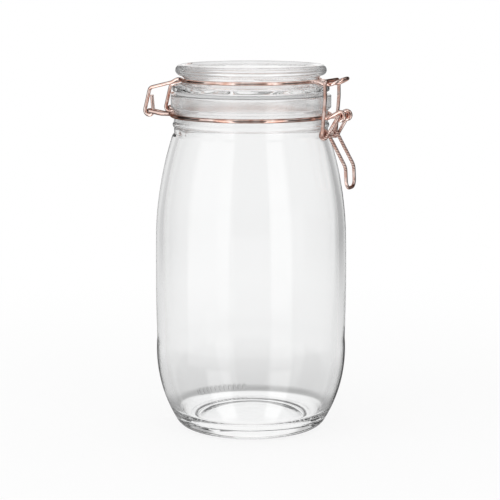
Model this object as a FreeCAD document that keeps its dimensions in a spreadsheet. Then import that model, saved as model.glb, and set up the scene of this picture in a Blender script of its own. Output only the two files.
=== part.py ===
"""Clip-top storage jar of about 1.5 litres: a pressed glass jar and lid with a bent-wire hinge and clasp.

Frame: Z up along the jar's axis, Z = 0 on the ring that the jar stands on. The clasp is on +X, the hinge
on -X, and every piece is symmetric about the XZ plane. All sizes are millimetres.
"""
import FreeCAD
import Part
import Sketcher

import math
import os

from FreeCAD import Vector

# Every driving size, as (alias, value, what it is). They become the cells of the spreadsheet.
SIZES = [
    # the jar's outside, from the foot up
    ("foot_inner_radius", 35.5, "inner edge of the ring the jar stands on"),
    ("foot_outer_radius", 40.0, "outer edge of the ring the jar stands on"),
    ("heel_radius", 47.0, "where the rounded heel meets the wall"),
    ("heel_height", 4.6, "height of that place"),
    ("heel_bend", 9.5, "radius of the heel's rounding"),
    ("wall_foot_radius", 58.7, "lower end of the nearly straight wall"),
    ("wall_foot_height", 56.0, "height of that end"),
    ("wall_foot_bend", 86.5, "radius of the curve between heel and wall"),
    ("wall_top_radius", 58.8, "upper end of the nearly straight wall"),
    ("wall_top_height", 124.0, "height of that end"),
    ("wall_bend", 1290.0, "radius of the wall's slight belly"),
    ("shoulder_bend", 221.0, "radius of the shoulder's curve"),
    ("bead_thickness", 3.2, "height of the bead, half round"),
    ("collar_chamfer", 1.9, "height of the collar's sloped underside"),
    ("rim_height", 207.0, "top face of the mouth, under the gasket"),
    # the jar's inside
    ("wall", 4.4, "thickness of the side wall"),
    ("mouth_radius", 42.6, "inside of the mouth and neck"),
    ("shoulder_wall", 4.6, "thickness of the shoulder"),
    ("mouth_round", 0.9, "rounding of the mouth's and the collar's edges"),
    ("foot_round", 0.8, "rounding of the foot ring's edges"),
    ("neck_round", 0.7, "rounding of the corners at the neck and the groove"),
    ("floor_edge_radius", 35.5, "where the inner floor turns up into the wall"),
    ("floor_edge_height", 7.4, "height of the inner floor at that edge"),
    ("floor_centre_height", 8.4, "height of the inner floor on the axis"),
    ("floor_bend", 12.5, "radius of the corner between inner floor and wall"),
    ("floor_wall_height", 15.5, "height where that corner ends"),
    # the push-up under the base
    ("pushup_rise", 2.0, "height of the flat step inside the foot ring"),
    ("pushup_slope", 1.6, "width of the slope up to that step"),
    ("dish_radius", 29.5, "edge of the shallow dish in the push-up"),
    ("dish_rise", 0.9, "step at the edge of the dish"),
    ("dish_slope", 0.8, "width of that step"),
    ("dish_dome", 0.9, "further rise of the dish on the axis"),
    # gasket
    ("gasket_thickness", 2.2, "height of the gasket when squeezed"),
    ("gasket_gap", 0.2, "setback of the gasket from the mouth's rounded edge"),
    ("gasket_round", 0.7, "rounding of the gasket's outer corners"),
    # lid
    ("plug_taper", 0.7, "how much narrower the plug is at its lower end"),
    ("plug_depth", 4.4, "how far the plug reaches below the flange"),
    ("plug_wall", 5.0, "width of the plug's lower face"),
    ("plug_draft", 2.0, "draft of the hollow under the lid"),
    ("flange_thickness", 3.3, "height of the flange's edge"),
    ("lid_rim_round", 3.3, "radius of the rim's half-round edge"),
    ("recess_depth", 1.5, "depth of the recess at its edge"),
    ("recess_round", 1.6, "rounding of the recess's edges"),
    ("recess_dome", 0.5, "rise of the recess's floor on the axis"),
    ("flange_round", 0.9, "rounding of the flange's edge"),
    ("waist_round", 0.7, "rounding of the groove's corners"),
    ("plug_round", 1.2, "rounding of the plug's lower edges"),
    # wires
    ("neck_wire", 2.5, "diameter of the neck wire"),
    ("lid_wire", 2.2, "diameter of the lid wire"),
    ("clasp_wire", 2.1, "diameter of the link's and the lever's wire"),
    ("wire_play", 0.15, "play of a wire in its groove or on its pivot"),
    ("root_bend", 3.4, "bend where a wire leaves its ring"),
    # hinge
    ("ear_offset", 14.4, "distance of each hinge ear from the middle"),
    ("ear_knee_bend", 4.0, "radius of that slight bend"),
    ("hook_knee_bend", 3.0, "radius of that knee"),
    # the lid wire's nose
    ("nose_offset", 5.9, "distance of each nose strand from the middle"),
    ("nose_bend", 3.0, "radius of the nose's bends"),
    ("sill", 0.9, "level run of the lid wire before it slopes down to nose or hinge"),
    ("sill_bend", 2.7, "radius of the bend after that run"),
    ("leg_bend", 6.0, "radius of the bend where a hinge leg passes the flange"),
    # lever
    ("curl_offset", 5.3, "distance of each pivot curl of the neck wire from the middle"),
    ("curl_turn", 250.0, "degrees that a curl wraps round the pivot"),
    ("curl_run", 1.28, "level run of the neck wire before it rises to a curl"),
    ("handle_offset", 6.9, "distance of each handle strand from the middle"),
    ("handle_kink_bend", 9.0, "radius of the kink"),
    ("handle_end_bend", 5.0, "radius of the handle's lower corners"),
    ("arm_bend", 2.2, "bend between an arm and its pivot pin"),
    ("pin_gap", 0.8, "gap between the two pivot pins' ends"),
    # link
    ("link_knee_bend", 30.0, "radius of that knee"),
    ("link_corner_bend", 3.0, "radius of the link's upper corners"),
    ("pin_bend", 2.0, "bend between a leg and its pin"),
    ("pin_proud", 0.4, "how far a pin's end stands out of the lever's coil"),
]

# Places that follow another size: alias, what it starts from, how far from it, what it is. A reach or a radius is
# counted outwards and a height upwards, so a minus sign means inwards or below. The step has the alias NAME_step.
PLACES = [
    ("ear_bend", "hinge_wires", 0.4, "radius of the ear's round end, with room for the hook's tail"),
    ("hook_bend", "hinge_wires", 0.5, "radius of the hook round the hinge axis"),
    ("eye_lead", "clasp_wire", 0.1, "sideways lead of the lever's coil at the link's pivot"),
    ("shoulder_radius", "neck_radius", 1.1, "top of the shoulder, outside the neck"),
    ("shoulder_height", "rim_height", -25.0, "height of the shoulder's top, from the rim"),
    ("neck_step_height", "shoulder_height", 1.4, "where the neck's straight part starts, above the shoulder"),
    ("bead_foot_height", "rim_height", -20.0, "underside of the bead below the groove, from the rim"),
    ("collar_foot_height", "rim_height", -9.6, "underside of the collar at the groove, from the rim"),
    ("collar_radius", "neck_radius", 1.9, "outside of the collar, beyond the neck"),
    ("neck_radius", "mouth_radius", 4.7, "neck, and the floor of the groove for the neck wire, outside the mouth"),
    ("mouth_foot_height", "shoulder_height", 4.0, "lower end of the straight mouth, above the shoulder"),
    ("gasket_radius", "collar_radius", -3.0, "outside of the gasket, from the collar"),
    ("plug_radius", "mouth_radius", -2.6, "outside of the ring that drops into the mouth, from the mouth"),
    ("ceiling_height", "seat_height", 6.0, "underside of the lid's plate, above the seat"),
    ("flange_radius", "collar_radius", -1.0, "outside of the lid's lower flange, from the collar"),
    ("waist_radius", "flange_radius", -7.2, "floor of the lid's groove for the lid wire, from the flange"),
    ("waist_foot_height", "seat_height", 5.6, "lower edge of that floor, above the seat"),
    ("waist_top_height", "waist_foot_height", 2.2, "upper edge of that floor, above the lower one"),
    ("lid_rim_radius", "flange_radius", -1.9, "outside of the lid's rounded rim, from the flange"),
    ("lid_height", "seat_height", 16.0, "top of the rim, above the seat: the height of the whole jar"),
    ("recess_radius", "lid_rim_radius", -7.8, "edge of the shallow recess in the lid's top, from the rim"),
    ("neck_wire_height", "rim_height", -12.5, "plane of the neck wire's ring, from the rim"),
    ("hinge_reach", "collar_radius", 13.6, "distance of the hinge axis outside the collar"),
    ("hinge_height", "neck_wire_height", 1.6, "height of the hinge axis above the neck wire"),
    ("ear_knee_reach", "collar_radius", 3.8, "where an ear starts to rise, outside the collar"),
    ("hook_knee_reach", "hinge_reach", -0.7, "knee between the leg's slope and the hook, from the hinge axis"),
    ("hook_knee_height", "lid_wire_height", -5.7, "height of that knee, from the lid wire"),
    ("leg_dip_reach", "flange_radius", -0.9, "where the leg passes the flange's edge"),
    ("leg_dip_height", "lid_wire_height", -2.1, "height of the leg there, from the lid wire"),
    ("tail_reach", "hinge_reach", -2.0, "end of the hook's tail, from the hinge axis"),
    ("tail_height", "hinge_height", 9.7, "height of the tail's end above the hinge axis"),
    ("nose_dip_reach", "flange_radius", 1.6, "start of the nose's low part, outside the flange"),
    ("nose_low_height", "lid_wire_height", -1.2, "height of the nose's low part, from the lid wire"),
    ("nose_rise_reach", "nose_dip_reach", 5.2, "where the nose turns up, beyond its dip"),
    ("nose_tip_reach", "nose_rise_reach", 7.7, "end of the nose, beyond that place"),
    ("nose_tip_height", "nose_low_height", 3.5, "height of the nose's end above its low part"),
    ("pivot_reach", "collar_radius", 11.5, "lever pivot, outside the collar"),
    ("pivot_height", "neck_wire_height", 1.4, "height of the lever pivot above the neck wire"),
    ("eye_reach", "pivot_reach", -9.2, "the link's pivot in the lever, from the lever's pivot"),
    ("eye_height", "pivot_height", -11.3, "height of that pivot, from the lever's"),
    ("handle_kink_reach", "pivot_reach", 4.2, "kink of the handle, beyond the lever's pivot"),
    ("handle_kink_height", "pivot_height", -30.3, "height of the kink, from the lever's pivot"),
    ("handle_end_reach", "pivot_reach", 4.9, "lower end of the handle, beyond the lever's pivot"),
    ("handle_end_height", "pivot_height", -43.1, "height of that end, from the lever's pivot"),
    ("bar_reach", "nose_rise_reach", -1.9, "the link's top bar, from where the nose turns up"),
    ("link_knee_reach", "bar_reach", 0.2, "slight knee in the link's legs, from its bar"),
    ("link_knee_height", "nose_low_height", -8.1, "height of that knee, from the nose"),
]

# Places worked out from more than one size: alias, formula, what it is.
FORMULAS = [
    ("seat_height", "rim_height + gasket_thickness", "underside of the lid's flange"),
    ("lid_wire_height", "(waist_foot_height + waist_top_height) / 2", "plane of the lid wire's ring"),
    ("hinge_wires", "(neck_wire + lid_wire) / 2", "the nearest that the two hinge wires' middles come"),
]


class Size:
    """A size with both its number and the spreadsheet expression that gives it."""

    def __init__(self, value, text):
        self.value = value
        self.text = text

    def _join(self, sign, other, value):
        text = other.text if isinstance(other, Size) else repr(other)
        return Size(value, f"({self.text} {sign} {text})")

    def __add__(self, other):
        return self._join("+", other, self.value + number(other))

    def __sub__(self, other):
        return self._join("-", other, self.value - number(other))

    def __mul__(self, other):
        return self._join("*", other, self.value * number(other))

    def __truediv__(self, other):
        return self._join("/", other, self.value / number(other))


def number(size):
    """The plain number of a Size, or the number itself."""
    return size.value if isinstance(size, Size) else float(size)


class Sizes:
    """The document's spreadsheet, with each of its cells as a Size attribute."""

    def __init__(self, doc):
        self.sheet = doc.addObject("Spreadsheet::Sheet", "Sizes")
        rows = [(alias, str(value), meaning) for alias, value, meaning in SIZES]
        for alias, start, step, meaning in PLACES:
            rows.append((f"{alias}_step", str(step), f"step of the next: {meaning}"))
            rows.append((alias, f"={start} + {alias}_step", meaning))
        rows += [(alias, f"={formula}", meaning) for alias, formula, meaning in FORMULAS]
        for row, (alias, content, meaning) in enumerate(rows, start=1):
            self.sheet.set(f"A{row}", meaning)
            self.sheet.setAlias(f"B{row}", alias)
        for row, (alias, content, meaning) in enumerate(rows, start=1):
            self.sheet.set(f"B{row}", content)
        doc.recompute()

    def __getattr__(self, alias):
        return Size(float(self.sheet.get(alias)), f"Sizes.{alias}")


# ---------------------------------------------------------------- turned glass


class Corner:
    """A corner of a turned outline: its radius and height, and the bend of the curve that leads to it.

    The bend is None for a straight run. With side +1 the curve bulges to the left of the way along the
    outline, with side -1 to the right.
    """

    def __init__(self, radius, height, bend=None, side=1):
        self.radius = radius
        self.height = height
        self.bend = bend
        self.side = side

    def point(self):
        return Vector(number(self.radius), number(self.height), 0)


def arc_between(start, end, bend, side):
    """The short arc of that radius from start to end, and whether it runs anticlockwise."""
    chord = end - start
    left = Vector(-chord.y, chord.x, 0).normalize()
    rise = math.sqrt(max(bend ** 2 - (chord.Length / 2) ** 2, 0))
    centre = start + chord * 0.5 - left * (rise * side)
    angles = [math.atan2(p.y - centre.y, p.x - centre.x) for p in (start, end)]
    anticlockwise = side < 0
    if not anticlockwise:
        angles.reverse()
    circle = Part.Circle(centre, Vector(0, 0, 1), bend)
    return Part.ArcOfCircle(circle, angles[0], angles[1]), anticlockwise


def outline_sketch(body, name, corners):
    """A closed, fully constrained outline in the body's XZ plane, with each corner bound to the sheet."""
    plane = next(f for f in body.Origin.OriginFeatures if f.Role == "XZ_Plane")
    sketch = body.newObject("Sketcher::SketchObject", name)
    sketch.AttachmentSupport = [(plane, "")]
    sketch.MapMode = "FlatFace"
    ends = []
    for index, corner in enumerate(corners):
        start, end = corners[index - 1].point(), corner.point()
        if corner.bend is None:
            sketch.addGeometry(Part.LineSegment(start, end), False)
            ends.append((1, 2))
        else:
            arc, forward = arc_between(start, end, number(corner.bend), corner.side)
            sketch.addGeometry(arc, False)
            ends.append((1, 2) if forward else (2, 1))
    for index, corner in enumerate(corners):
        onward = (index + 1) % len(corners)
        here, there = (index, ends[index][1]), (onward, ends[onward][0])
        sketch.addConstraint(Sketcher.Constraint("Coincident", *here, *there))
        if corner.bend is not None:
            bind(sketch, "Radius", (index,), corner.bend)
        place(sketch, here, corner)
    return sketch


def bind(sketch, kind, places, size):
    """Adds a constraint of that kind, driven by the sheet."""
    added = sketch.addConstraint(Sketcher.Constraint(kind, *places, number(size)))
    sketch.setExpression(f"Constraints[{added}]", size.text)


def place(sketch, end, corner):
    """Holds a corner at its radius and height. A plain 0 stands for the axis or the floor."""
    if number(corner.radius) == 0:
        sketch.addConstraint(Sketcher.Constraint("PointOnObject", *end, -2))
    else:
        bind(sketch, "DistanceX", (-1, 1, *end), corner.radius)
    if number(corner.height) == 0:
        sketch.addConstraint(Sketcher.Constraint("PointOnObject", *end, -1))
    else:
        bind(sketch, "DistanceY", (-1, 1, *end), corner.height)


def turned_body(doc, label, corners):
    """A body turned from an outline about the jar's axis."""
    body = doc.addObject("PartDesign::Body", label)
    body.Label = label
    sketch = outline_sketch(body, label + "_outline", corners)
    turn = body.newObject("PartDesign::Revolution", label + "_turned")
    turn.Profile = sketch
    turn.ReferenceAxis = (sketch, ["V_Axis"])
    turn.Angle = 360
    doc.recompute()
    return body


def round_edges(body, name, radius, places):
    """Rounds the circular edges at those places, each a (radius, height) pair."""
    base = body.Tip
    wanted = [(number(r), number(z)) for r, z in places]
    found = []
    for index, edge in enumerate(base.Shape.Edges, start=1):
        if not isinstance(edge.Curve, Part.Circle):
            continue
        here = (edge.Curve.Radius, edge.Curve.Center.z)
        if any(math.dist(here, w) < 1e-4 for w in wanted):
            found.append(f"Edge{index}")
    if len(found) < len(wanted):
        raise ValueError(f"{name}: found {len(found)} of {len(wanted)} edges")
    fillet = body.newObject("PartDesign::Fillet", name)
    fillet.Base = (base, found)
    fillet.setExpression("Radius", radius.text)
    body.Document.recompute()
    return fillet


def make_jar(doc, d):
    """The jar's glass: foot ring, heel, slightly bellied wall, shoulder, bead, groove, collar and mouth."""
    bead_top = d.bead_foot_height + d.bead_thickness
    inner_top = d.shoulder_radius - d.shoulder_wall
    outside = [
        Corner(d.foot_inner_radius, 0),
        Corner(d.foot_outer_radius, 0),
        Corner(d.heel_radius, d.heel_height, d.heel_bend, -1),
        Corner(d.wall_foot_radius, d.wall_foot_height, d.wall_foot_bend, -1),
        Corner(d.wall_top_radius, d.wall_top_height, d.wall_bend, -1),
        Corner(d.shoulder_radius, d.shoulder_height, d.shoulder_bend, -1),
        Corner(d.neck_radius, d.neck_step_height),
        Corner(d.neck_radius, d.bead_foot_height),
        Corner(d.neck_radius, bead_top, d.bead_thickness * 0.6, -1),
        Corner(d.neck_radius, d.collar_foot_height),
        Corner(d.collar_radius, d.collar_foot_height + d.collar_chamfer),
        Corner(d.collar_radius, d.rim_height),
    ]
    inside = [
        Corner(d.mouth_radius, d.rim_height),
        Corner(d.mouth_radius, d.mouth_foot_height),
        Corner(inner_top, d.shoulder_height),
        Corner(d.wall_top_radius - d.wall, d.wall_top_height, d.shoulder_bend - d.wall, 1),
        Corner(d.wall_foot_radius - d.wall, d.wall_foot_height, d.wall_bend - d.wall, 1),
        Corner(d.heel_radius, d.floor_wall_height, d.wall_foot_bend - d.wall, 1),
        Corner(d.floor_edge_radius, d.floor_edge_height, d.floor_bend, 1),
        Corner(0, d.floor_centre_height),
    ]
    dish_edge = d.pushup_rise + d.dish_rise
    underside = [
        Corner(0, dish_edge + d.dish_dome),
        Corner(d.dish_radius - d.dish_slope, dish_edge),
        Corner(d.dish_radius, d.pushup_rise),
        Corner(d.foot_inner_radius - d.pushup_slope, d.pushup_rise),
    ]
    body = turned_body(doc, "jar_body", outside + inside + underside)
    round_edges(body, "mouth_rounding", d.mouth_round, [
        (d.mouth_radius, d.rim_height),
        (d.collar_radius, d.rim_height),
        (d.collar_radius, d.collar_foot_height + d.collar_chamfer),
    ])
    round_edges(body, "foot_rounding", d.foot_round, [
        (d.foot_outer_radius, 0),
        (d.foot_inner_radius, 0),
    ])
    round_edges(body, "neck_rounding", d.neck_round, [
        (d.neck_radius, d.collar_foot_height),
        (d.neck_radius, d.neck_step_height),
        (d.shoulder_radius, d.shoulder_height),
    ])
    return body


def make_gasket(doc, d):
    """The clear gasket, squeezed between the mouth and the lid's flange."""
    inner = d.mouth_radius + d.mouth_round + d.gasket_gap
    top = d.rim_height + d.gasket_thickness
    body = turned_body(doc, "gasket", [
        Corner(inner, d.rim_height),
        Corner(d.gasket_radius, d.rim_height),
        Corner(d.gasket_radius, top),
        Corner(inner, top),
    ])
    round_edges(body, "gasket_rounding", d.gasket_round, [
        (d.gasket_radius, d.rim_height),
        (d.gasket_radius, top),
    ])
    return body


def make_lid(doc, d):
    """The lid's glass: plug, flange, groove for the lid wire, rounded rim and shallow top recess."""
    seat = d.seat_height
    plug_foot = seat - d.plug_depth
    plug_low = d.plug_radius - d.plug_taper
    rim_centre = d.lid_rim_radius - d.lid_rim_round
    rim_foot = d.lid_height - d.lid_rim_round * 2
    body = turned_body(doc, "lid_glass", [
        Corner(0, d.ceiling_height),
        Corner(plug_low - d.plug_wall - d.plug_draft, d.ceiling_height),
        Corner(plug_low - d.plug_wall, plug_foot),
        Corner(plug_low, plug_foot),
        Corner(d.plug_radius, seat),
        Corner(d.flange_radius, seat),
        Corner(d.flange_radius, seat + d.flange_thickness),
        Corner(d.waist_radius, d.waist_foot_height),
        Corner(d.waist_radius, d.waist_top_height),
        Corner(rim_centre, rim_foot),
        Corner(d.lid_rim_radius, rim_foot + d.lid_rim_round, d.lid_rim_round, -1),
        Corner(rim_centre, d.lid_height, d.lid_rim_round, -1),
        Corner(d.recess_radius, d.lid_height - d.recess_depth),
        Corner(0, d.lid_height - d.recess_depth + d.recess_dome),
    ])
    round_edges(body, "plug_rounding", d.plug_round, [
        (plug_low - d.plug_wall, plug_foot),
        (plug_low, plug_foot),
        (plug_low - d.plug_wall - d.plug_draft, d.ceiling_height),
    ])
    round_edges(body, "flange_rounding", d.flange_round, [
        (d.flange_radius, seat),
        (d.flange_radius, seat + d.flange_thickness),
    ])
    round_edges(body, "waist_rounding", d.waist_round, [
        (d.waist_radius, d.waist_foot_height),
        (d.waist_radius, d.waist_top_height),
        (rim_centre, rim_foot),
    ])
    round_edges(body, "recess_rounding", d.recess_round, [
        (rim_centre, d.lid_height),
        (d.recess_radius, d.lid_height - d.recess_depth),
    ])
    return body


# ---------------------------------------------------------------- bent wire


class Route:
    """A bent wire's centre line: straight runs and arcs that meet without a corner."""

    def __init__(self, start):
        self.here = start
        self.edges = []

    def line(self, end):
        """A straight run to that point."""
        if (end - self.here).Length > 1e-6:
            self.edges.append(Part.LineSegment(self.here, end).toShape())
            self.here = end

    def turn(self, centre, axis, degrees):
        """An arc about an axis through the centre."""
        middle = turned(self.here, centre, axis, degrees / 2)
        end = turned(self.here, centre, axis, degrees)
        self.edges.append(Part.Arc(self.here, middle, end).toShape())
        self.here = end

    def through(self, middle, end):
        """An arc through two more points."""
        self.edges.append(Part.Arc(self.here, middle, end).toShape())
        self.here = end

    def bend(self, corner, onward, radius):
        """A run toward a corner and a tangent arc there, which leaves toward the onward point."""
        coming = unit(corner - self.here)
        going = unit(onward - corner)
        angle = coming.getAngle(going)
        cut = radius * math.tan(angle / 2)
        self.line(corner - coming * cut)
        centre = corner + unit(going - coming) * (radius / math.cos(angle / 2))
        self.turn(centre, coming.cross(going), math.degrees(angle))


def unit(vector):
    """A vector of length 1 with that direction."""
    return Vector(vector).normalize()


def turned(point, centre, axis, degrees):
    """The point turned about an axis through the centre."""
    return FreeCAD.Rotation(axis, degrees).multVec(point - centre) + centre


def root_arc(ring, bend, offset, outward_from_middle):
    """The bend that carries a wire from a ring of that radius into a run along X at that offset.

    Returns the bend's centre and the places on the ring and on the run, for the +X and +Y quarter. With
    outward_from_middle the bend's centre lies on the far side of the run from the middle.
    """
    side = 1 if outward_from_middle else -1
    centre_y = offset + side * bend
    centre_x = math.sqrt((ring + bend) ** 2 - centre_y ** 2)
    centre = Vector(centre_x, centre_y, 0)
    on_ring = centre * (ring / (ring + bend))
    on_run = Vector(centre_x, offset, 0)
    return centre, on_ring, on_run


def tangent_angle(point, centre, radius, side):
    """The angle round the centre at which a line from the point touches a circle, in the XZ plane."""
    towards = math.atan2(point.z - centre.z, point.x - centre.x)
    spread = math.acos(radius / math.hypot(point.x - centre.x, point.z - centre.z))
    return towards + side * spread


def on_circle(centre, radius, angle, offset):
    """A point on a circle in the XZ plane, at that sideways offset."""
    return Vector(centre.x + radius * math.cos(angle), offset, centre.z + radius * math.sin(angle))


def both_halves(half):
    """The whole centre line from the half on the +Y side, which starts at the middle."""
    other = [edge.mirror(Vector(), Vector(0, 1, 0)) for edge in half.edges]
    return Part.Wire(Part.__sortEdges__(other + half.edges))


def wire_piece(doc, label, path, start, heading, diameter):
    """A wire of that diameter swept along its centre line."""
    line = doc.addObject("Part::Feature", label + "_line")
    line.Shape = path
    profile = doc.addObject("Part::Circle", label + "_section")
    profile.setExpression("Radius", f"{diameter.text} / 2")
    profile.Placement = FreeCAD.Placement(start, FreeCAD.Rotation(Vector(0, 0, 1), heading))
    sweep = doc.addObject("Part::Sweep", label)
    sweep.Label = label
    sweep.Sections = [profile]
    sweep.Spine = (line, [f"Edge{n}" for n in range(1, len(path.Edges) + 1)])
    sweep.Solid = True
    sweep.Frenet = False
    sweep.Transition = "Transformed"
    doc.recompute()
    return sweep


def neck_wire_route(d):
    """Half of the neck wire: from the middle of the back, round an ear, round the neck, to a pivot curl."""
    ring = number(d.neck_radius + d.neck_wire / 2 + d.wire_play)
    level = Vector(0, 0, number(d.neck_wire_height))
    bend = number(d.root_bend)
    ear_bend = number(d.ear_bend)
    ear_y = number(d.ear_offset)
    route = Route(Vector(-ring, 0, 0) + level)

    def at_back(point):
        return Vector(-point.x, point.y, 0) + level

    # out along the ear's inner strand, round its end and back along the outer strand
    centre, on_ring, on_run = root_arc(ring, bend, ear_y - ear_bend, False)
    route.through(at_back(halfway(ring, Vector(ring, 0, 0), on_ring)), at_back(on_ring))
    route.through(at_back(bend_middle(centre, on_ring, on_run)), at_back(on_run))
    knee_x = -number(d.ear_knee_reach)
    knee = Vector(knee_x, ear_y - ear_bend, level.z)
    tip = Vector(-number(d.hinge_reach), ear_y, number(d.hinge_height))
    rise = unit(tip - Vector(knee_x, ear_y, level.z))
    round_centre = tip - rise * ear_bend
    beside = Vector(0, ear_bend, 0)
    route.bend(knee, round_centre - beside, number(d.ear_knee_bend))
    route.line(round_centre - beside)
    route.turn(round_centre, rise.cross(Vector(0, 1, 0)), 180)
    centre, on_ring, on_run = root_arc(ring, bend, ear_y + ear_bend, True)
    knee = knee + beside * 2
    route.bend(knee, at_back(on_run), number(d.ear_knee_bend))
    route.line(at_back(on_run))
    route.through(at_back(bend_middle(centre, on_run, on_ring)), at_back(on_ring))
    # round the neck to the clasp's side
    leave = at_back(on_ring) - level
    offset = number(d.curl_offset)
    centre, on_ring, on_run = root_arc(ring, bend, offset, True)
    route.through(halfway(ring, leave, on_ring) + level, on_ring + level)
    route.through(bend_middle(centre, on_ring, on_run) + level, on_run + level)
    # up to the lever's pivot and round it
    pivot = Vector(number(d.pivot_reach), offset, number(d.pivot_height))
    curl = number(d.clasp_wire / 2 + d.neck_wire / 2 + d.wire_play)
    knee = on_run + level + Vector(number(d.curl_run), 0, 0)
    touch = tangent_angle(knee, pivot, curl, -1)
    top = on_circle(pivot, curl, touch, offset)
    route.bend(knee, top, bend)
    route.line(top)
    route.turn(pivot, Vector(0, 1, 0), number(d.curl_turn))
    return route


def halfway(ring, start, end):
    """The middle of the short way round a ring from one point to another."""
    return unit(unit(start) + unit(end)) * ring


def bend_middle(centre, start, end):
    """The middle of the short arc about a centre from one point to another."""
    radius = (start - centre).Length
    return centre + unit((start - centre) + (end - centre)) * radius


def lid_wire_route(d):
    """Half of the lid wire: from the nose's tip, round the lid, down a leg, round a hook to its tail."""
    ring = number(d.waist_radius + d.lid_wire / 2 + d.wire_play * 2)
    height = number(d.lid_wire_height)
    level = Vector(0, 0, height)
    bend = number(d.root_bend)
    strand = number(d.nose_offset)
    turn_up = Vector(number(d.nose_rise_reach), strand, number(d.nose_low_height))
    tip = Vector(number(d.nose_tip_reach), 0, number(d.nose_tip_height))
    slope = unit(tip - Vector(turn_up.x, 0, turn_up.z))
    tip_centre = tip - slope * strand
    route = Route(tip)
    across = slope.cross(Vector(0, 1, 0))
    route.turn(tip_centre, across, 90)
    centre, on_ring, on_run = root_arc(ring, bend, strand, True)
    dip = Vector(number(d.nose_dip_reach), strand, number(d.nose_low_height))
    sill = on_run + level + Vector(number(d.sill), 0, 0)
    nose_bend = number(d.nose_bend)
    route.bend(turn_up, dip, nose_bend)
    route.bend(dip, sill, nose_bend)
    route.bend(sill, on_run + level, number(d.sill_bend))
    route.line(on_run + level)
    route.through(bend_middle(centre, on_run, on_ring) + level, on_ring + level)
    # round the lid to the hinge's side
    entry = on_ring
    leg = number(d.ear_offset)
    centre, on_ring, on_run = root_arc(ring, bend, leg, True)
    back_ring = Vector(-on_ring.x, on_ring.y, 0)
    back_run = Vector(-on_run.x, on_run.y, 0) + level
    back_middle = bend_middle(centre, on_ring, on_run)
    route.through(halfway(ring, entry, back_ring) + level, back_ring + level)
    route.through(Vector(-back_middle.x, back_middle.y, 0) + level, back_run)
    # over the flange, down to the hook, round the hinge axis and up the tail
    lip = back_run - Vector(number(d.sill), 0, 0)
    flange_pass = Vector(-number(d.leg_dip_reach), leg, number(d.leg_dip_height))
    knee = Vector(-number(d.hook_knee_reach), leg, number(d.hook_knee_height))
    axis = Vector(-number(d.hinge_reach), leg, number(d.hinge_height))
    hook = number(d.hook_bend)
    tail = Vector(-number(d.tail_reach), leg, number(d.tail_height))
    first = tangent_angle(knee, axis, hook, 1)
    last = tangent_angle(tail, axis, hook, -1)
    route.bend(lip, flange_pass, number(d.sill_bend))
    route.bend(flange_pass, knee, number(d.leg_bend))
    start = on_circle(axis, hook, first, leg)
    route.bend(knee, start, number(d.hook_knee_bend))
    route.line(start)
    sweep = math.degrees(last - first) % 360
    route.turn(axis, Vector(0, -1, 0), sweep)
    route.line(tail)
    return route


def lever_route(d):
    """Half of the lever: from the handle's lower end up a strand, round a coil, up an arm to a pivot pin."""
    strand = number(d.handle_offset)
    arm = strand + number(d.eye_lead)
    low = Vector(number(d.handle_end_reach), 0, number(d.handle_end_height))
    kink = Vector(number(d.handle_kink_reach), strand, number(d.handle_kink_height))
    eye = Vector(number(d.eye_reach), strand, number(d.eye_height))
    pivot = Vector(number(d.pivot_reach), arm, number(d.pivot_height))
    coil = number(d.clasp_wire + d.wire_play)
    enter = tangent_angle(kink, eye, coil, 1)
    leave = tangent_angle(pivot, eye, coil, -1)
    route = Route(low)
    side = Vector(0, strand, 0)
    start = on_circle(eye, coil, enter, strand)
    route.bend(low + side, kink, number(d.handle_end_bend))
    route.bend(kink, start, number(d.handle_kink_bend))
    route.line(start)
    # the coil's sideways lead is eased at both ends, so that the strand and the arm run straight out of it
    whole = (leave - enter) % (2 * math.pi)
    steps = 8

    def along(part):
        eased = part - math.sin(2 * math.pi * part) / (2 * math.pi)
        return on_circle(eye, coil, enter + whole * part, strand + (arm - strand) * eased)

    for step in range(steps):
        route.through(along((step + 0.5) / steps), along((step + 1) / steps))
    end = Vector(pivot.x, number(d.pin_gap) / 2, pivot.z)
    route.bend(pivot, end, number(d.arm_bend))
    route.line(end)
    return route


def link_route(d):
    """Half of the link: from the middle of its top bar down a leg to a pin in the lever's coil."""
    side = number(d.handle_offset + d.eye_lead + d.clasp_wire + d.wire_play)
    bar_height = number(d.nose_low_height + d.lid_wire / 2 + d.clasp_wire / 2 + d.wire_play / 3)
    corner = Vector(number(d.bar_reach), side, bar_height)
    knee = Vector(number(d.link_knee_reach), side, number(d.link_knee_height))
    foot = Vector(number(d.eye_reach), side, number(d.eye_height))
    coil_inner = number(d.handle_offset - d.clasp_wire / 2 - d.pin_proud)
    end = Vector(foot.x, coil_inner, foot.z)
    route = Route(Vector(corner.x, 0, corner.z))
    route.bend(corner, knee, number(d.link_corner_bend))
    route.bend(knee, foot, number(d.link_knee_bend))
    route.bend(foot, end, number(d.pin_bend))
    route.line(end)
    return route


WIRES = [
    ("neck_ring", neck_wire_route, "neck_wire"),
    ("lid_wire", lid_wire_route, "lid_wire"),
    ("lever", lever_route, "clasp_wire"),
    ("link", link_route, "clasp_wire"),
]


def make_wire(doc, d, label, routing, gauge):
    """One bent-wire piece, swept from one cut end to the other."""
    route = routing(d)
    path = both_halves(route)
    first = path.OrderedEdges[0]
    begin = first.firstVertex(True).Point
    heading = first.tangentAt(first.FirstParameter)
    if first.Orientation == "Reversed":
        heading = first.tangentAt(first.LastParameter) * -1
    return wire_piece(doc, label, path, begin, heading, getattr(d, gauge))


# ---------------------------------------------------------------- the whole


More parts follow.
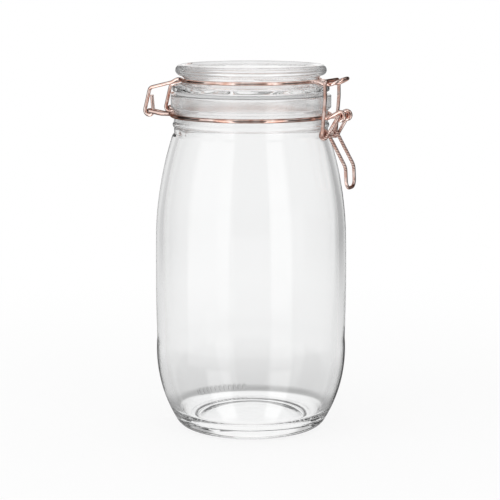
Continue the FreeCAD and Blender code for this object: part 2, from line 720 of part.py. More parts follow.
def check(doc, pieces):
    """Stops if anything in the document failed or a piece isn't one valid solid."""
    for thing in doc.Objects:
        if "Invalid" in thing.State or "Error" in thing.State:
            raise RuntimeError(f"{thing.Label} failed: {thing.State}")
    for piece in pieces:
        shape = piece.Shape
        if shape.isNull() or not shape.isValid() or len(shape.Solids) != 1:
            raise RuntimeError(f"{piece.Label} isn't one valid solid")


def main():
    doc = FreeCAD.newDocument("StorageJar")
    d = Sizes(doc)
    pieces = [make_jar(doc, d), make_gasket(doc, d), make_lid(doc, d)]
    for label, routing, gauge in WIRES:
        pieces.append(make_wire(doc, d, label, routing, gauge))
    doc.recompute()
    check(doc, pieces)
    os.makedirs("parts", exist_ok=True)
    for piece in pieces:
        piece.Shape.exportStep(f"parts/{piece.Label}.step")
        box = piece.Shape.BoundBox
        print(f"{piece.Label}: {piece.Shape.Volume:.1f} mm3, faces {len(piece.Shape.Faces)}, "
              f"X {box.XMin:.2f} {box.XMax:.2f}, Y {box.YMin:.2f} {box.YMax:.2f}, "
              f"Z {box.ZMin:.2f} {box.ZMax:.2f}")


main()
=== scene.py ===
"""Looks of a clip-top glass storage jar, built round its packed mechanical frame.

Turned glass is drawn as a half section and spun, the bent wires are smoothed copies of the frame's own solids,
and a plain white studio stands round them. Sizes in the classes of the pieces are millimetres; Blender's objects,
finishes and the studio are in metres.
"""

import logging
import math
from dataclasses import dataclass, field
from enum import Enum
from typing import Any, Sequence

import bmesh
import bpy
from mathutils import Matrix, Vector

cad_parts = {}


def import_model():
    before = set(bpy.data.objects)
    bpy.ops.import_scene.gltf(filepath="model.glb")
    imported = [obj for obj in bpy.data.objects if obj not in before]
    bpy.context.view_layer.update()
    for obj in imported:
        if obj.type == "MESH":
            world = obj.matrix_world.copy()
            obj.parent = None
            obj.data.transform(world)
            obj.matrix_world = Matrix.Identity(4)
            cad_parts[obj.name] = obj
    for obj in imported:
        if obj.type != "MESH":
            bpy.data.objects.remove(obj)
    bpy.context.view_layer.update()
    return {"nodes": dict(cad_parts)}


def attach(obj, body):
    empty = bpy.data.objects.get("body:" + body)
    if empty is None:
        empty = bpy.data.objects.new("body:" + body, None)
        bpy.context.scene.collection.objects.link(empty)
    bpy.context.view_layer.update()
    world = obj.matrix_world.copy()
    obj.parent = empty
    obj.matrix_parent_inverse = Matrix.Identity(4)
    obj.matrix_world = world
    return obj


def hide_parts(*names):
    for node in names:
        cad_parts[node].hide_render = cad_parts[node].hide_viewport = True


MM = 0.001
MERGE_DISTANCE = 0.000002
RING_TOLERANCE = 0.00002
JAR_MIDDLE = (0.0, 0.0, 0.11)
WHITE = (1.0, 1.0, 1.0, 1.0)
log = logging.getLogger("storage_jar")

Colour = tuple[float, float, float, float]
Pair = tuple[float, float]
Triple = tuple[float, float, float]


# ---------------------------------------------------------------- shader building


class Term:
    """A number on its way through a node tree: operators on it add Math nodes."""

    def __init__(self, tree: "Tree", socket: Any) -> None:
        """Wraps an output socket of a tree."""
        self.tree = tree
        self.socket = socket

    def _math(self, operation: str, first: Any, second: Any) -> "Term":
        """Adds one Math node and returns its result."""
        return self.tree.node("ShaderNodeMath", {"operation": operation}, {0: first, 1: second})

    def __add__(self, other: Any) -> "Term":
        """Sum."""
        return self._math("ADD", self, other)

    __radd__ = __add__

    def __sub__(self, other: Any) -> "Term":
        """Difference."""
        return self._math("SUBTRACT", self, other)

    def __rsub__(self, other: Any) -> "Term":
        """Difference, reflected."""
        return self._math("SUBTRACT", other, self)

    def __mul__(self, other: Any) -> "Term":
        """Product."""
        return self._math("MULTIPLY", self, other)

    __rmul__ = __mul__

    def larger(self, other: Any) -> "Term":
        """The larger of two numbers."""
        return self._math("MAXIMUM", self, other)

    def rise(self, low: float, high: float) -> "Term":
        """A smooth step from 0 at low to 1 at high."""
        return self.tree.node("ShaderNodeMapRange", {"interpolation_type": "SMOOTHSTEP", "clamp": True},
                              {"Value": self, "From Min": low, "From Max": high, "To Min": 0.0, "To Max": 1.0})

    def window(self, low: float, high: float, soft: float) -> "Term":
        """1 between low and high and 0 outside, with soft sides."""
        return self.rise(low - soft, low + soft) * (1.0 - self.rise(high - soft, high + soft))


class Tree:
    """A node tree that is being filled."""

    def __init__(self, node_tree: bpy.types.NodeTree) -> None:
        """Empties the tree."""
        self.nodes = node_tree.nodes
        self.links = node_tree.links
        self.nodes.clear()

    def node(self, kind: str, settings: dict[str, Any], inputs: dict[Any, Any], output: Any = 0) -> Term:
        """Adds a node.

        Args:
            kind: The node's type name.
            settings: Properties of the node, set before its sockets.
            inputs: Values or Terms by socket name or number.
            output: Name or number of the output to return.

        Returns:
            The output as a Term.
        """
        made = self.nodes.new(kind)
        for name, value in settings.items():
            setattr(made, name, value)
        for key, value in inputs.items():
            socket = made.inputs[key]
            if isinstance(value, Term):
                self.links.new(value.socket, socket)
            else:
                socket.default_value = value
        return Term(self, made.outputs[output])

    def place(self, kind: str = "Object") -> Term:
        """Coordinates of that kind, the object's own if none is named."""
        return self.node("ShaderNodeTexCoord", {}, {}, kind)

    def stretched(self, place: Term, scale: Triple) -> Term:
        """Coordinates scaled along each axis."""
        return self.node("ShaderNodeMapping", {}, {"Vector": place, "Scale": scale})

    def noise(self, place: Term, scale: float, detail: float, roughness: float = 0.5) -> Term:
        """Solid noise between 0 and 1."""
        return self.node("ShaderNodeTexNoise", {"noise_dimensions": "3D"},
                         {"Vector": place, "Scale": scale, "Detail": detail, "Roughness": roughness})

    def vector(self, operation: str, inputs: Sequence[Any], output: str) -> Term:
        """Adds one Vector Math node."""
        return self.node("ShaderNodeVectorMath", {"operation": operation}, dict(enumerate(inputs)), output)

    def upward(self, vector: Term) -> Term:
        """The upward part of a vector."""
        return self.node("ShaderNodeSeparateXYZ", {}, {0: vector}, "Z")

    def blend(self, factor: Term, first: Any, second: Any) -> Term:
        """A colour between two."""
        return self.node("ShaderNodeMix", {"data_type": "RGBA"}, {"Factor": factor, 6: first, 7: second}, 2)

    def bump(self, relief: Term, strength: float = 1.0, distance: float = 1.0) -> Term:
        """The normal over a relief, whose height times the distance is in metres."""
        return self.node("ShaderNodeBump", {},
                         {"Strength": strength, "Distance": distance, "Height": relief}, "Normal")

    def ramp(self, factor: Term, stops: Sequence[Pair]) -> Term:
        """A grey Color Ramp.

        Args:
            factor: What drives it.
            stops: Pairs of position and grey level.

        Returns:
            The ramp's grey as a Term.
        """
        made = self.nodes.new("ShaderNodeValToRGB")
        elements = made.color_ramp.elements
        for index, (place, level) in enumerate(stops):
            element = elements[index] if index < 2 else elements.new(place)
            element.position = place
            element.color = (level, level, level, 1.0)
        self.links.new(factor.socket, made.inputs[0])
        return Term(self, made.outputs[0])

    def surface(self, inputs: dict[Any, Any]) -> None:
        """Ends a material's tree with one Principled shader."""
        self.finish("ShaderNodeOutputMaterial", self.node("ShaderNodeBsdfPrincipled", {}, inputs))

    def finish(self, kind: str, shader: Term) -> None:
        """Joins the shader to a new output node of that kind."""
        output = self.nodes.new(kind)
        self.links.new(shader.socket, output.inputs["Surface"])


class RayKinds:
    """Masks of what kind of ray is asking: one from the camera, one let through glass, one mirrored."""

    def __init__(self, tree: Tree) -> None:
        """Adds the Light Path node."""
        self.seen = tree.node("ShaderNodeLightPath", {}, {}, "Is Camera Ray")
        outputs = self.seen.socket.node.outputs
        self.through = Term(tree, outputs["Is Transmission Ray"])
        self.glossy = Term(tree, outputs["Is Glossy Ray"]) * (1.0 - self.through)


def new_material(name: str) -> tuple[bpy.types.Material, Tree]:
    """Makes an empty node material and returns it with its tree."""
    material = bpy.data.materials.new(name)
    material.use_nodes = True
    return material, Tree(material.node_tree)


@dataclass(frozen=True)
class ClearGlass:
    """Soda-lime glass, nearly colourless: faint ripple all over, and wavy rings where it was pressed thick."""

    name: str
    tint: Colour = (0.976, 0.978, 0.978, 1.0)
    index: float = 1.5
    polish: float = 0.004
    cloud_scale: float = 55.0
    cloud_haze: float = 0.012
    ripple_stretch: Triple = (1.0, 1.0, 0.45)
    ripple_scale: float = 34.0
    ripple_depth: float = 0.00016
    ring_stretch: Triple = (0.16, 0.16, 1.0)
    ring_scale: float = 150.0
    ring_depth: float = 0.0003
    ring_haze: float = 0.16
    rings_above: float = 0.183
    rings_full: float = 0.010

    def material(self) -> bpy.types.Material:
        """Builds the material."""
        material, tree = new_material(self.name)
        place = tree.place()
        ripple = tree.noise(tree.stretched(place, self.ripple_stretch), self.ripple_scale, 1.5, 0.4)
        rings = tree.noise(tree.stretched(place, self.ring_stretch), self.ring_scale, 1.0, 0.3)
        thick = tree.upward(place).rise(self.rings_above, self.rings_above + self.rings_full)
        relief = ripple * self.ripple_depth + rings * thick * self.ring_depth
        cloud = tree.noise(place, self.cloud_scale, 2.0)
        tree.surface({
            "Base Color": self.tint, "IOR": self.index, "Transmission Weight": 1.0, "Normal": tree.bump(relief),
            "Roughness": self.polish + cloud * self.cloud_haze + thick * self.ring_haze})
        return material


@dataclass(frozen=True)
class ClearSilicone:
    """Milky clear silicone with a dull skin."""

    name: str
    tint: Colour = (0.98, 0.985, 0.985, 1.0)
    index: float = 1.41
    clearness: float = 0.2
    polish: float = 0.28
    grain_haze: float = 0.14
    grain_scale: float = 420.0
    grain_depth: float = 0.00004
    grain_strength: float = 0.4

    def material(self) -> bpy.types.Material:
        """Builds the material."""
        material, tree = new_material(self.name)
        grain = tree.noise(tree.place(), self.grain_scale, 3.0)
        tree.surface({
            "Base Color": self.tint, "IOR": self.index, "Transmission Weight": self.clearness,
            "Roughness": self.polish + grain * self.grain_haze,
            "Normal": tree.bump(grain, self.grain_strength, self.grain_depth)})
        return material


class Drawing(Enum):
    """How a wire's surface was left by the tools that drew and gripped it."""

    PLAIN = "plain"
    RIBBED = "ribbed"


@dataclass(frozen=True)
class PlatedWire:
    """Rose-gold plated steel wire, polished, with slow hand-bent waves and faint drawing marks.

    A ribbed wire also has slanting ribs between two heights, with painted shade in the grooves.
    """

    name: str
    drawing: Drawing = Drawing.PLAIN
    light: Colour = (0.97, 0.80, 0.74, 1.0)
    deep: Colour = (0.70, 0.42, 0.34, 1.0)
    edge: Colour = (0.45, 0.28, 0.22, 1.0)
    polish: float = 0.05
    streak_haze: float = 0.07
    blotch_scale: float = 210.0
    blotch_stops: Sequence[Pair] = ((0.35, 0.0), (0.68, 1.0))
    streak_scale: float = 900.0
    streak_depth: float = 0.000006
    wave_scale: float = 110.0
    wave_depth: float = 0.00045
    # Painted shade: the dark colour laid in the grooves between the ribs.
    groove: Colour = (0.24, 0.13, 0.10, 1.0)
    groove_top: float = 0.8
    rib_scale: float = 250.0
    rib_slant: float = -0.3
    rib_waver: float = 0.3
    rib_depth: float = 0.00014
    rib_heights: Pair = (0.163, 0.187)
    rib_fade: float = 0.001

    def ribs(self, tree: Tree, place: Term) -> Term:
        """1 on the ribs' crests and off the ribbed part, 0 in the grooves."""
        slanted = tree.node("ShaderNodeMapping", {}, {"Vector": place, "Rotation": (0.0, self.rib_slant, 0.0)})
        bands = tree.node("ShaderNodeTexWave", {"wave_type": "BANDS", "bands_direction": "Z"},
                          {"Vector": slanted, "Scale": self.rib_scale, "Distortion": self.rib_waver}, "Fac")
        return 1.0 - (1.0 - bands) * tree.upward(place).window(*self.rib_heights, self.rib_fade)

    def material(self) -> bpy.types.Material:
        """Builds the material."""
        material, tree = new_material(self.name)
        place = tree.place()
        blotch = tree.noise(place, self.blotch_scale, 3.0)
        streak = tree.noise(place, self.streak_scale, 4.0)
        wave = tree.noise(place, self.wave_scale, 0.0)
        relief = streak * self.streak_depth + wave * self.wave_depth
        colour = tree.blend(tree.ramp(blotch, self.blotch_stops), self.light, self.deep)
        if self.drawing is Drawing.RIBBED:
            ribs = self.ribs(tree, place)
            relief = relief + ribs * self.rib_depth
            # Painted shade: the grooves between the ribs are coloured dark.
            colour = tree.blend(1.0 - ribs.rise(0.0, self.groove_top), colour, self.groove)
        tree.surface({
            "Base Color": colour, "Metallic": 1.0, "Specular Tint": self.edge, "Normal": tree.bump(relief),
            "Roughness": self.polish + streak * self.streak_haze})
        return material


# ---------------------------------------------------------------- pieces


def finish_piece(mesh: bmesh.types.BMesh, name: str, finish: Any, body: str, node: str) -> bpy.types.Object:
    """Turns a finished bmesh into a piece that stands for a node of the frame.

    Args:
        mesh: The geometry, in place, in metres.
        name: The piece's name.
        finish: A finish with a material method.
        body: The body it moves with.
        node: The node it stands for.

    Returns:
        The piece.
    """
    for face in mesh.faces:
        face.smooth = True
    data = bpy.data.meshes.new(name)
    mesh.to_mesh(data)
    mesh.free()
    piece = bpy.data.objects.new(name, data)
    bpy.context.scene.collection.objects.link(piece)
    data.materials.append(finish.material())
    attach(piece, body)
    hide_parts(node)
    log.info("%s: %d faces", name, len(data.polygons))
    return piece


class Section:
    """The half section of a turned piece, drawn from point to point and spun about the axis."""

    def __init__(self, radius: float, height: float) -> None:
        """Starts at that radius and height."""
        self.mesh = bmesh.new()
        self.tip = self.mesh.verts.new(Vector((radius, 0.0, height)) * MM)

    def line(self, radius: float, height: float, steps: int = 1) -> "Section":
        """Draws a straight run to that radius and height in equal steps."""
        stride = (Vector((radius, 0.0, height)) * MM - self.tip.co) / steps
        for _ in range(steps):
            grown = bmesh.ops.extrude_vert_indiv(self.mesh, verts=[self.tip])["verts"]
            bmesh.ops.translate(self.mesh, verts=grown, vec=stride)
            self.tip = grown[0]
        return self

    def arc(self, radius: float, height: float, bend: float, side: int, steps: int) -> "Section":
        """Draws a curved run.

        Args:
            radius: Radius of its end.
            height: Height of its end.
            bend: Radius of the curve.
            side: +1 if it bulges to the left of the way, -1 if to the right.
            steps: Number of edges.

        Returns:
            This section.
        """
        start, goal = self.tip.co.copy(), Vector((radius, 0.0, height)) * MM
        chord = goal - start
        left = Vector((-chord.z, 0.0, chord.x)).normalized()
        half = min(chord.length / 2 / (bend * MM), 1.0)
        rise = bend * MM * math.sqrt(1.0 - half * half)
        spun = bmesh.ops.spin(self.mesh, geom=[self.tip], cent=start + chord / 2 - left * (rise * side),
                              axis=(0.0, 1.0, 0.0), dvec=(0.0, 0.0, 0.0), angle=2 * math.asin(half) * side,
                              steps=steps, use_merge=False, use_duplicate=False)
        self.tip = next(item for item in spun["geom_last"] if isinstance(item, bmesh.types.BMVert))
        return self

    def spin(self, steps: int) -> bmesh.types.BMesh:
        """Closes the section and spins it into a skin that faces outwards."""
        self.mesh.verts.ensure_lookup_table()
        self.mesh.edges.new((self.tip, self.mesh.verts[0]))
        bmesh.ops.spin(self.mesh, geom=self.mesh.verts[:] + self.mesh.edges[:], cent=(0.0, 0.0, 0.0),
                       axis=(0.0, 0.0, 1.0), dvec=(0.0, 0.0, 0.0), angle=2 * math.pi, steps=steps,
                       use_merge=True, use_duplicate=False)
        bmesh.ops.remove_doubles(self.mesh, verts=self.mesh.verts, dist=MERGE_DISTANCE)
        bmesh.ops.recalc_face_normals(self.mesh, faces=self.mesh.faces)
        return self.mesh


def round_rings(mesh: bmesh.types.BMesh, rings: Sequence[Triple], segments: int) -> None:
    """Rounds sharp rings of a turned skin.

    Args:
        mesh: The skin.
        rings: Triples of radius, height and width of the rounding.
        segments: Faces across each rounding.
    """
    for radius, height, width in rings:
        def on_ring(vert: bmesh.types.BMVert) -> bool:
            """Whether the point lies on the ring."""
            here = (math.hypot(vert.co.x, vert.co.y), vert.co.z)
            return math.dist(here, (radius * MM, height * MM)) < RING_TOLERANCE
        edges = [edge for edge in mesh.edges if on_ring(edge.verts[0]) and on_ring(edge.verts[1])]
        bmesh.ops.bevel(mesh, geom=edges, offset=width * MM, offset_type="OFFSET", segments=segments,
                        profile=0.5, affect="EDGES", clamp_overlap=True, material=-1)


def weigh_normals(piece: bpy.types.Object) -> bpy.types.Object:
    """Keeps wide flat faces flat beside their narrow roundings."""
    modifier = piece.modifiers.new("face_weight", "WEIGHTED_NORMAL")
    modifier.mode = "FACE_AREA"
    modifier.weight = 50
    return piece


@dataclass
class GlassJar:
    """The jar's glass: foot ring, heel, bellied wall, shoulder, bead, groove, collar and mouth.

    A pair is a radius and a height, and a triple adds the bend of the curve that ends there. Spans along one
    radius or height say so.
    """

    foot_radii: Pair = (35.5, 40.0)
    heel: Triple = (47.0, 4.6, 9.5)
    belly_foot: Triple = (58.7, 56.0, 86.5)
    belly_top: Triple = (58.8, 124.0, 1290.0)
    shoulder: Triple = (48.4, 182.0, 221.0)
    wall: float = 4.4
    neck: float = 47.3
    neck_heights: Pair = (183.4, 197.4)
    bead_heights: Pair = (187.0, 190.2)
    bead_bend: float = 1.92
    collar: float = 49.2
    collar_foot: float = 199.3
    rim: float = 207.0
    bore: Pair = (42.6, 186.0)
    inner_shoulder: Pair = (43.8, 182.0)
    inner_heel: Pair = (47.0, 15.5)
    inner_floor: Triple = (35.5, 7.4, 12.5)
    floor_dome: float = 8.4
    underside: Sequence[Pair] = ((28.7, 2.9), (29.5, 2.0), (33.9, 2.0))
    underside_dome: float = 3.8
    turns: int = 360
    mark_height: Pair = (6.0, 11.4)
    mark_sweep: Pair = (118.0, 163.0)
    mark_inside: float = 47.4
    mark_pitch: int = 4
    mark_slope: float = 0.45
    mark_rise: float = 0.70
    finish: ClearGlass = ClearGlass("jar_glass")
    roundings: Sequence[Triple] = (
        (42.6, 207.0, 0.9), (49.2, 207.0, 0.9), (49.2, 199.3, 0.4), (47.3, 197.4, 0.3),
        (47.3, 183.4, 0.28), (48.4, 182.0, 0.15), (40.0, 0.0, 0.25), (35.5, 0.0, 0.33))

    def outside(self, drawn: Section) -> None:
        """Draws up the outside, from the foot to the mouth."""
        drawn.line(self.foot_radii[1], 0.0, 2)
        drawn.arc(*self.heel, -1, 5).arc(*self.belly_foot, -1, 24)
        drawn.arc(*self.belly_top, -1, 10).arc(*self.shoulder, -1, 14)
        low, high = self.bead_heights
        drawn.line(self.neck, self.neck_heights[0]).line(self.neck, low)
        drawn.arc(self.neck, high, self.bead_bend, -1, 8).line(self.neck, self.neck_heights[1])
        drawn.line(self.collar, self.collar_foot).line(self.collar, self.rim).line(self.bore[0], self.rim)

    def inside(self, drawn: Section) -> None:
        """Draws down the inside, from the mouth to the axis, and back out along the underside."""
        drawn.line(*self.bore, 2).line(*self.inner_shoulder)
        for (radius, height, _), bend, steps in ((self.belly_top, self.shoulder[2], 14),
                                                 (self.belly_foot, self.belly_top[2], 10)):
            drawn.arc(radius - self.wall, height, bend - self.wall, 1, steps)
        drawn.arc(*self.inner_heel, self.belly_foot[2] - self.wall, 1, 14).arc(*self.inner_floor, 1, 10)
        drawn.line(0.0, self.floor_dome, 6).line(0.0, self.underside_dome)
        for (radius, height), steps in zip(self.underside, (4, 1, 1)):
            drawn.line(radius, height, steps)

    def stipple(self, mesh: bmesh.types.BMesh) -> None:
        """Raises a short row of small plain pads low on the back of the heel, as a mould leaves them."""
        low, high = self.mark_height
        first, last = self.mark_sweep

        def marked(face: bmesh.types.BMFace) -> bool:
            """Whether a pad stands on that face."""
            middle = face.calc_center_median() / MM
            angle = math.degrees(math.atan2(middle.y, middle.x)) % 360
            across = math.hypot(middle.x, middle.y)
            if not (low < middle.z < high and first < angle < last and across > self.mark_inside):
                return False
            step = int((angle - first) * self.turns / 360 + 0.5)
            return step % self.mark_pitch != self.mark_pitch - 1
        pads = [face for face in mesh.faces if marked(face)]
        bmesh.ops.inset_region(mesh, faces=pads, thickness=self.mark_slope * MM, depth=self.mark_rise * MM,
                               use_boundary=True, use_even_offset=True)

    def build(self) -> bpy.types.Object:
        """Builds the piece."""
        drawn = Section(self.foot_radii[0], 0.0)
        self.outside(drawn)
        self.inside(drawn)
        mesh = drawn.spin(self.turns)
        round_rings(mesh, self.roundings, 3)
        self.stipple(mesh)
        return weigh_normals(finish_piece(mesh, "glass_jar", self.finish, "jar", "jar_body"))


@dataclass
class GlassLid:
    """The lid's glass: hollow plug, flange, groove for its wire, rounded rim and shallow top recess.

    A pair is a radius and a height.
    """

    hollow: Pair = (32.3, 215.2)
    plug_radii: Pair = (34.3, 39.3)
    plug_foot: float = 204.8
    seat: Pair = (40.0, 209.2)
    flange: Pair = (48.2, 212.5)
    groove: float = 41.0
    groove_heights: Pair = (214.8, 217.0)
    rim: float = 43.0
    rim_heights: Pair = (218.6, 225.2)
    rim_bend: float = 3.3
    recess: Pair = (38.5, 223.7)
    recess_dome: float = 224.2
    turns: int = 256
    finish: ClearGlass = ClearGlass("lid_glass", ripple_scale=60.0, ripple_depth=0.0002, rings_above=0.10,
                                   ring_depth=0.00022, ring_haze=0.0)
    roundings: Sequence[Triple] = (
        (34.3, 204.8, 1.0), (39.3, 204.8, 1.1), (32.3, 215.2, 1.0), (48.2, 209.2, 0.9), (48.2, 212.5, 0.6),
        (41.0, 214.8, 0.4), (41.0, 217.0, 0.4), (43.0, 218.6, 0.25), (43.0, 225.2, 0.3), (38.5, 223.7, 0.3))

    def section(self) -> Section:
        """Draws the half section from the axis, round the plug and the flange and back over the top."""
        drawn = Section(0.0, self.hollow[1]).line(*self.hollow, 5)
        drawn.line(self.plug_radii[0], self.plug_foot, 3).line(self.plug_radii[1], self.plug_foot)
        drawn.line(*self.seat, 2).line(self.flange[0], self.seat[1], 2).line(*self.flange)
        drawn.line(self.groove, self.groove_heights[0], 2).line(self.groove, self.groove_heights[1])
        drawn.line(self.rim, self.rim_heights[0]).arc(self.rim, self.rim_heights[1], self.rim_bend, -1, 20)
        return drawn.line(*self.recess).line(0.0, self.recess_dome, 6)

    def build(self) -> bpy.types.Object:
        """Builds the piece."""
        mesh = self.section().spin(self.turns)
        round_rings(mesh, self.roundings, 4)
        return weigh_normals(finish_piece(mesh, "glass_lid", self.finish, "lid", "lid_glass"))


@dataclass
class SealingRing:
    """The clear gasket, a gap clear of the mouth below it and of the lid's flange above it."""

    inner: float = 43.7
    outer: float = 46.2
    low: float = 207.0
    high: float = 209.2
    gap: float = 0.02
    rounding: float = 0.7
    turns: int = 192
    finish: ClearSilicone = ClearSilicone("clear_silicone")

    def build(self) -> bpy.types.Object:
        """Builds the piece."""
        low, high = self.low + self.gap, self.high - self.gap
        drawn = Section(self.inner, low).line(self.outer, low, 2)
        mesh = drawn.line(self.outer, high).line(self.inner, high, 2).spin(self.turns)
        round_rings(mesh, [(self.outer, low, self.rounding), (self.outer, high, self.rounding)], 4)
        return weigh_normals(finish_piece(mesh, "sealing_ring", self.finish, "lid", "gasket"))


@dataclass(frozen=True)
class BentWire:
    """One bent wire: a merged and smoothed copy of the frame's solid."""

    name: str
    node: str
    body: str
    finish: PlatedWire
    crease: float = 35.0

    def build(self, nodes: dict[str, bpy.types.Object]) -> bpy.types.Object:
        """Builds the piece from the frame's node."""
        mesh = bmesh.new()
        mesh.from_mesh(nodes[self.node].data)
        bmesh.ops.remove_doubles(mesh, verts=mesh.verts, dist=MERGE_DISTANCE)
        limit = math.radians(self.crease)
        for edge in mesh.edges:
            edge.smooth = edge.calc_face_angle(0.0) < limit
        return finish_piece(mesh, self.name, self.finish, self.body, self.node)


@dataclass
class Fittings:
    """The four bent wires: neck ring with its ears and curls, lid wire with its nose, lever and link."""

    wires: list[BentWire] = field(default_factory=lambda: [
        BentWire("neck_wire", "neck_ring", "jar", PlatedWire("rose_wire_neck")),
        BentWire("lid_bail", "lid_wire", "lid", PlatedWire("rose_wire_lid")),
        BentWire("clasp_lever", "lever", "lever", PlatedWire("rose_wire_lever", Drawing.RIBBED)),
        BentWire("clasp_link", "link", "link", PlatedWire("rose_wire_link")),
    ])

    def build(self, nodes: dict[str, bpy.types.Object]) -> list[bpy.types.Object]:
        """Builds all four."""
        return [wire.build(nodes) for wire in self.wires]


# ---------------------------------------------------------------- studio


@dataclass(frozen=True)
class Patch:
    """A soft-edged part of the surroundings, by bearing from the camera and by elevation, in degrees."""

    left: float
    right: float
    low: float
    high: float
    soft: float
    level: float

    def shade(self, bearing: Term, elevation: Term) -> Term:
        """The patch's level where it lies, else 0."""
        return (bearing.window(self.left, self.right, self.soft)
                * elevation.window(self.low, self.high, self.soft) * self.level)


@dataclass(frozen=True)
class SoftBox:
    """A rectangular soft light that faces the jar. Sizes in metres, bearing in degrees from the camera."""

    name: str
    bearing: float
    distance: float
    height: float
    width: float
    tall: float
    radiance: float


@dataclass
class Studio:
    """White floor and backdrop, soft boxes and the camera. Sizes in metres and degrees.

    The reflected patches are soft boxes that gloss and glass meet; the dimmed ones hold back what gloss meets,
    and the passed_by ones what is met through glass. On the floor, what glass shows is painted light and shade:
    painted white right under the jar, painted shade near it, and the surroundings painted in from there to its
    far range.
    """

    camera_bearing: float = -66.0
    camera_reach: float = 1.058
    camera_height: float = 0.2835
    camera_pitch: float = 9.3
    lens: float = 124.2
    sensor: float = 36.0
    shift: float = -0.002
    sight: float = 50.0
    floor_radius: float = 6.0
    floor_colour: Colour = (0.90, 0.90, 0.90, 1.0)
    floor_white: float = 0.86
    shadow_range: Pair = (0.10, 0.55)
    # Painted light and shade on the floor, met only through glass: painted white under the jar, a ramp of painted
    # shade by distance, and the surroundings painted in over the far range.
    painted_light_under_jar: Pair = (0.052, 0.062)
    far_range: Pair = (0.12, 0.95)
    painted_floor_shade: Sequence[Pair] = (
        (0.0, 1.0), (0.064, 0.42), (0.082, 0.74), (0.14, 0.79), (0.22, 0.93), (0.50, 1.0))
    ambient: float = 0.80
    glossy_bounces: int = 12
    transmission_bounces: int = 14
    max_bounces: int = 16
    boxes: Sequence[SoftBox] = (
        SoftBox("box_left", -53.0, 1.3, 0.75, 1.3, 1.2, 1.2),
        SoftBox("box_right", 37.0, 1.4, 0.75, 0.6, 1.2, 1.2),
    )
    reflected: Sequence[Patch] = (
        Patch(-82.0, -25.0, -15.0, 60.0, 3.0, 1.05), Patch(-25.0, 23.0, -17.0, -2.0, 2.0, 0.50),
        Patch(-56.0, -25.0, -58.0, -15.0, 4.0, 2.3),
        Patch(23.0, 50.0, -15.0, 60.0, 3.0, 1.10), Patch(23.0, 50.0, -58.0, -15.0, 4.0, 2.3),
    )
    dimmed: Sequence[Patch] = (
        Patch(-128.0, 128.0, -15.0, 34.0, 4.0, 0.95), Patch(-128.0, 128.0, -80.0, -15.0, 5.0, 0.74),
        Patch(-128.0, 128.0, 46.0, 70.0, 3.0, 0.80),
        Patch(116.0, 170.0, -60.0, 60.0, 4.0, 0.80), Patch(-170.0, -116.0, -60.0, 60.0, 4.0, 0.74),
        Patch(112.0, 181.0, 16.0, 76.0, 4.0, 0.75), Patch(-181.0, -112.0, 16.0, 76.0, 4.0, 0.75),
    )
    passed_by: Sequence[Patch] = (
        Patch(-124.0, 124.0, -80.0, 60.0, 8.0, 0.55),
        Patch(124.0, 157.0, -60.0, 60.0, 5.0, 0.50), Patch(-151.0, -124.0, -60.0, 60.0, 5.0, 0.30),
    )

    def spot(self, bearing: float, reach: float, height: float) -> Vector:
        """A place round the jar, its bearing counted anticlockwise from the camera as seen from above."""
        angle = math.radians(self.camera_bearing + bearing)
        return Vector((math.cos(angle) * reach, math.sin(angle) * reach, height))

    def link(self, thing: bpy.types.Object) -> bpy.types.Object:
        """Adds an object to the scene."""
        bpy.context.scene.collection.objects.link(thing)
        return thing

    def add_camera(self) -> None:
        """Adds the camera."""
        data = bpy.data.cameras.new("camera")
        data.lens = self.lens
        data.sensor_width = self.sensor
        data.shift_x = self.shift
        data.clip_end = self.sight
        camera = self.link(bpy.data.objects.new("camera", data))
        place = self.spot(0.0, self.camera_reach, self.camera_height)
        camera.location = place
        ahead = Vector((-place.x, -place.y, 0.0)).normalized()
        look = ahead * math.cos(math.radians(self.camera_pitch))
        look.z = -math.sin(math.radians(self.camera_pitch))
        camera.rotation_euler = look.to_track_quat("-Z", "Y").to_euler()
        bpy.context.scene.camera = camera

    def remaining(self, patches: Sequence[Patch], bearing: Term, elevation: Term) -> Term:
        """White less the share that each patch holds back."""
        left = 1.0 - patches[0].shade(bearing, elevation)
        for patch in patches[1:]:
            left = left * (1.0 - patch.shade(bearing, elevation))
        return left

    def surroundings(self, tree: Tree, outward: Term) -> tuple[Term, Term]:
        """What stands round the jar in one direction.

        Args:
            tree: The node tree to build in.
            outward: The direction, of any length.

        Returns:
            Its brightness in a mirror, and its brightness through glass.
        """
        unit = tree.vector("NORMALIZE", [outward], "Vector")
        toward = tree.vector("DOT_PRODUCT", [unit, self.spot(0.0, 1.0, 0.0)], "Value")
        across = tree.vector("DOT_PRODUCT", [unit, self.spot(90.0, 1.0, 0.0)], "Value")
        turned = tree.node("ShaderNodeMath", {"operation": "ARCTAN2"}, {0: across, 1: toward})
        raised = tree.node("ShaderNodeMath", {"operation": "ARCSINE"}, {0: tree.upward(unit)})
        bearing, elevation = turned * math.degrees(1.0), raised * math.degrees(1.0)
        mirrored = self.remaining(self.dimmed, bearing, elevation)
        passed = self.remaining(self.passed_by, bearing, elevation)
        for patch in self.reflected:
            box = patch.shade(bearing, elevation)
            mirrored, passed = mirrored.larger(box), passed.larger(box)
        return mirrored, passed

    def add_world(self) -> None:
        """Adds the surroundings: plain white to look at, with a dark front side and two boxes in the gloss."""
        world = bpy.data.worlds.new("white_world")
        world.use_nodes = True
        bpy.context.scene.world = world
        tree = Tree(world.node_tree)
        mirrored, passed = self.surroundings(tree, tree.place("Generated"))
        ray = RayKinds(tree)
        level = (ray.seen + ray.glossy * mirrored + ray.through * passed
                 + (1.0 - ray.seen - ray.glossy - ray.through) * self.ambient)
        shader = tree.node("ShaderNodeBackground", {}, {"Color": WHITE, "Strength": level})
        tree.finish("ShaderNodeOutputWorld", shader)

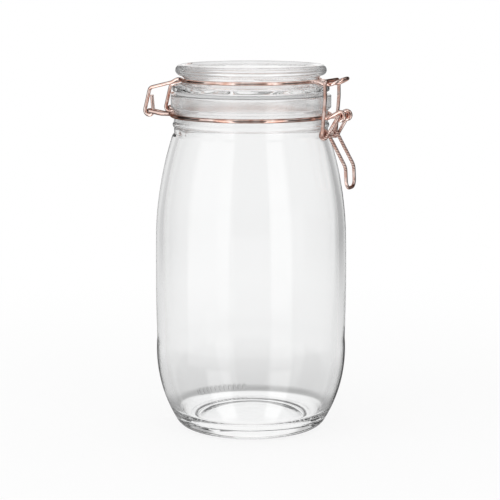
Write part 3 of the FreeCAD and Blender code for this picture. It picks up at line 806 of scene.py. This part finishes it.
    def floor_material(self) -> bpy.types.Material:
        """Builds the floor's material: white to the camera but for a share of shadow round the jar, and through
        glass a glow of painted light and shade.
        """
        material, tree = new_material("pale_floor")
        ray = RayKinds(tree)
        place = tree.place()
        reach = tree.vector("LENGTH", [place], "Value")
        share = self.floor_white + reach.rise(*self.shadow_range) * (1.0 - self.floor_white)
        from_middle = tree.vector("SUBTRACT", [place, JAR_MIDDLE], "Vector")
        passed = self.surroundings(tree, from_middle)[1]
        # Through glass the floor glows with painted light and shade: the surroundings painted in over the far
        # range, painted shade near the jar and painted white right under it.
        passed = 1.0 - (1.0 - passed) * reach.rise(*self.far_range)
        under = 1.0 - reach.rise(*self.painted_light_under_jar)
        passed = under.larger(passed * tree.ramp(reach, self.painted_floor_shade))
        bounce = tree.node("ShaderNodeBsdfDiffuse", {}, {"Color": self.floor_colour}, "BSDF")
        glow = tree.node("ShaderNodeEmission", {}, {"Color": WHITE, "Strength": ray.seen + ray.through * passed})
        whole = tree.node("ShaderNodeMixShader", {}, {0: (ray.seen * share) + ray.through, 1: bounce, 2: glow})
        tree.finish("ShaderNodeOutputMaterial", whole)
        return material

    def add_floor(self) -> None:
        """Adds the floor, which keeps the object's soft shadow."""
        mesh = bmesh.new()
        bmesh.ops.create_circle(mesh, cap_ends=True, segments=96, radius=self.floor_radius)
        data = bpy.data.meshes.new("floor")
        mesh.to_mesh(data)
        mesh.free()
        floor = self.link(bpy.data.objects.new("floor", data))
        data.materials.append(self.floor_material())
        floor.visible_glossy = False

    def add_boxes(self) -> None:
        """Adds the soft boxes, turned towards the middle of the jar."""
        for box in self.boxes:
            data = bpy.data.lights.new(box.name, "AREA")
            data.shape = "RECTANGLE"
            data.size, data.size_y = box.width, box.tall
            data.energy = box.radiance * math.pi * box.width * box.tall
            light = self.link(bpy.data.objects.new(box.name, data))
            place = self.spot(box.bearing, box.distance, box.height)
            light.location = place
            light.rotation_euler = (Vector(JAR_MIDDLE) - place).to_track_quat("-Z", "Y").to_euler()
            light.visible_camera = False
            light.visible_glossy = False
            light.visible_transmission = False

    def build(self) -> None:
        """Builds the whole studio."""
        self.add_camera()
        self.add_world()
        self.add_floor()
        self.add_boxes()
        scene = bpy.context.scene
        scene.view_settings.view_transform = "Standard"
        scene.cycles.glossy_bounces = self.glossy_bounces
        scene.cycles.transmission_bounces = self.transmission_bounces
        scene.cycles.max_bounces = self.max_bounces


def main() -> None:
    """Builds the jar round the frame, and the studio round the jar."""
    logging.basicConfig(level=logging.INFO, format="%(name)s: %(message)s")
    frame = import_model()
    Studio().build()
    GlassJar().build()
    GlassLid().build()
    SealingRing().build()
    Fittings().build(frame["nodes"])


if __name__ == "__main__":
    main()
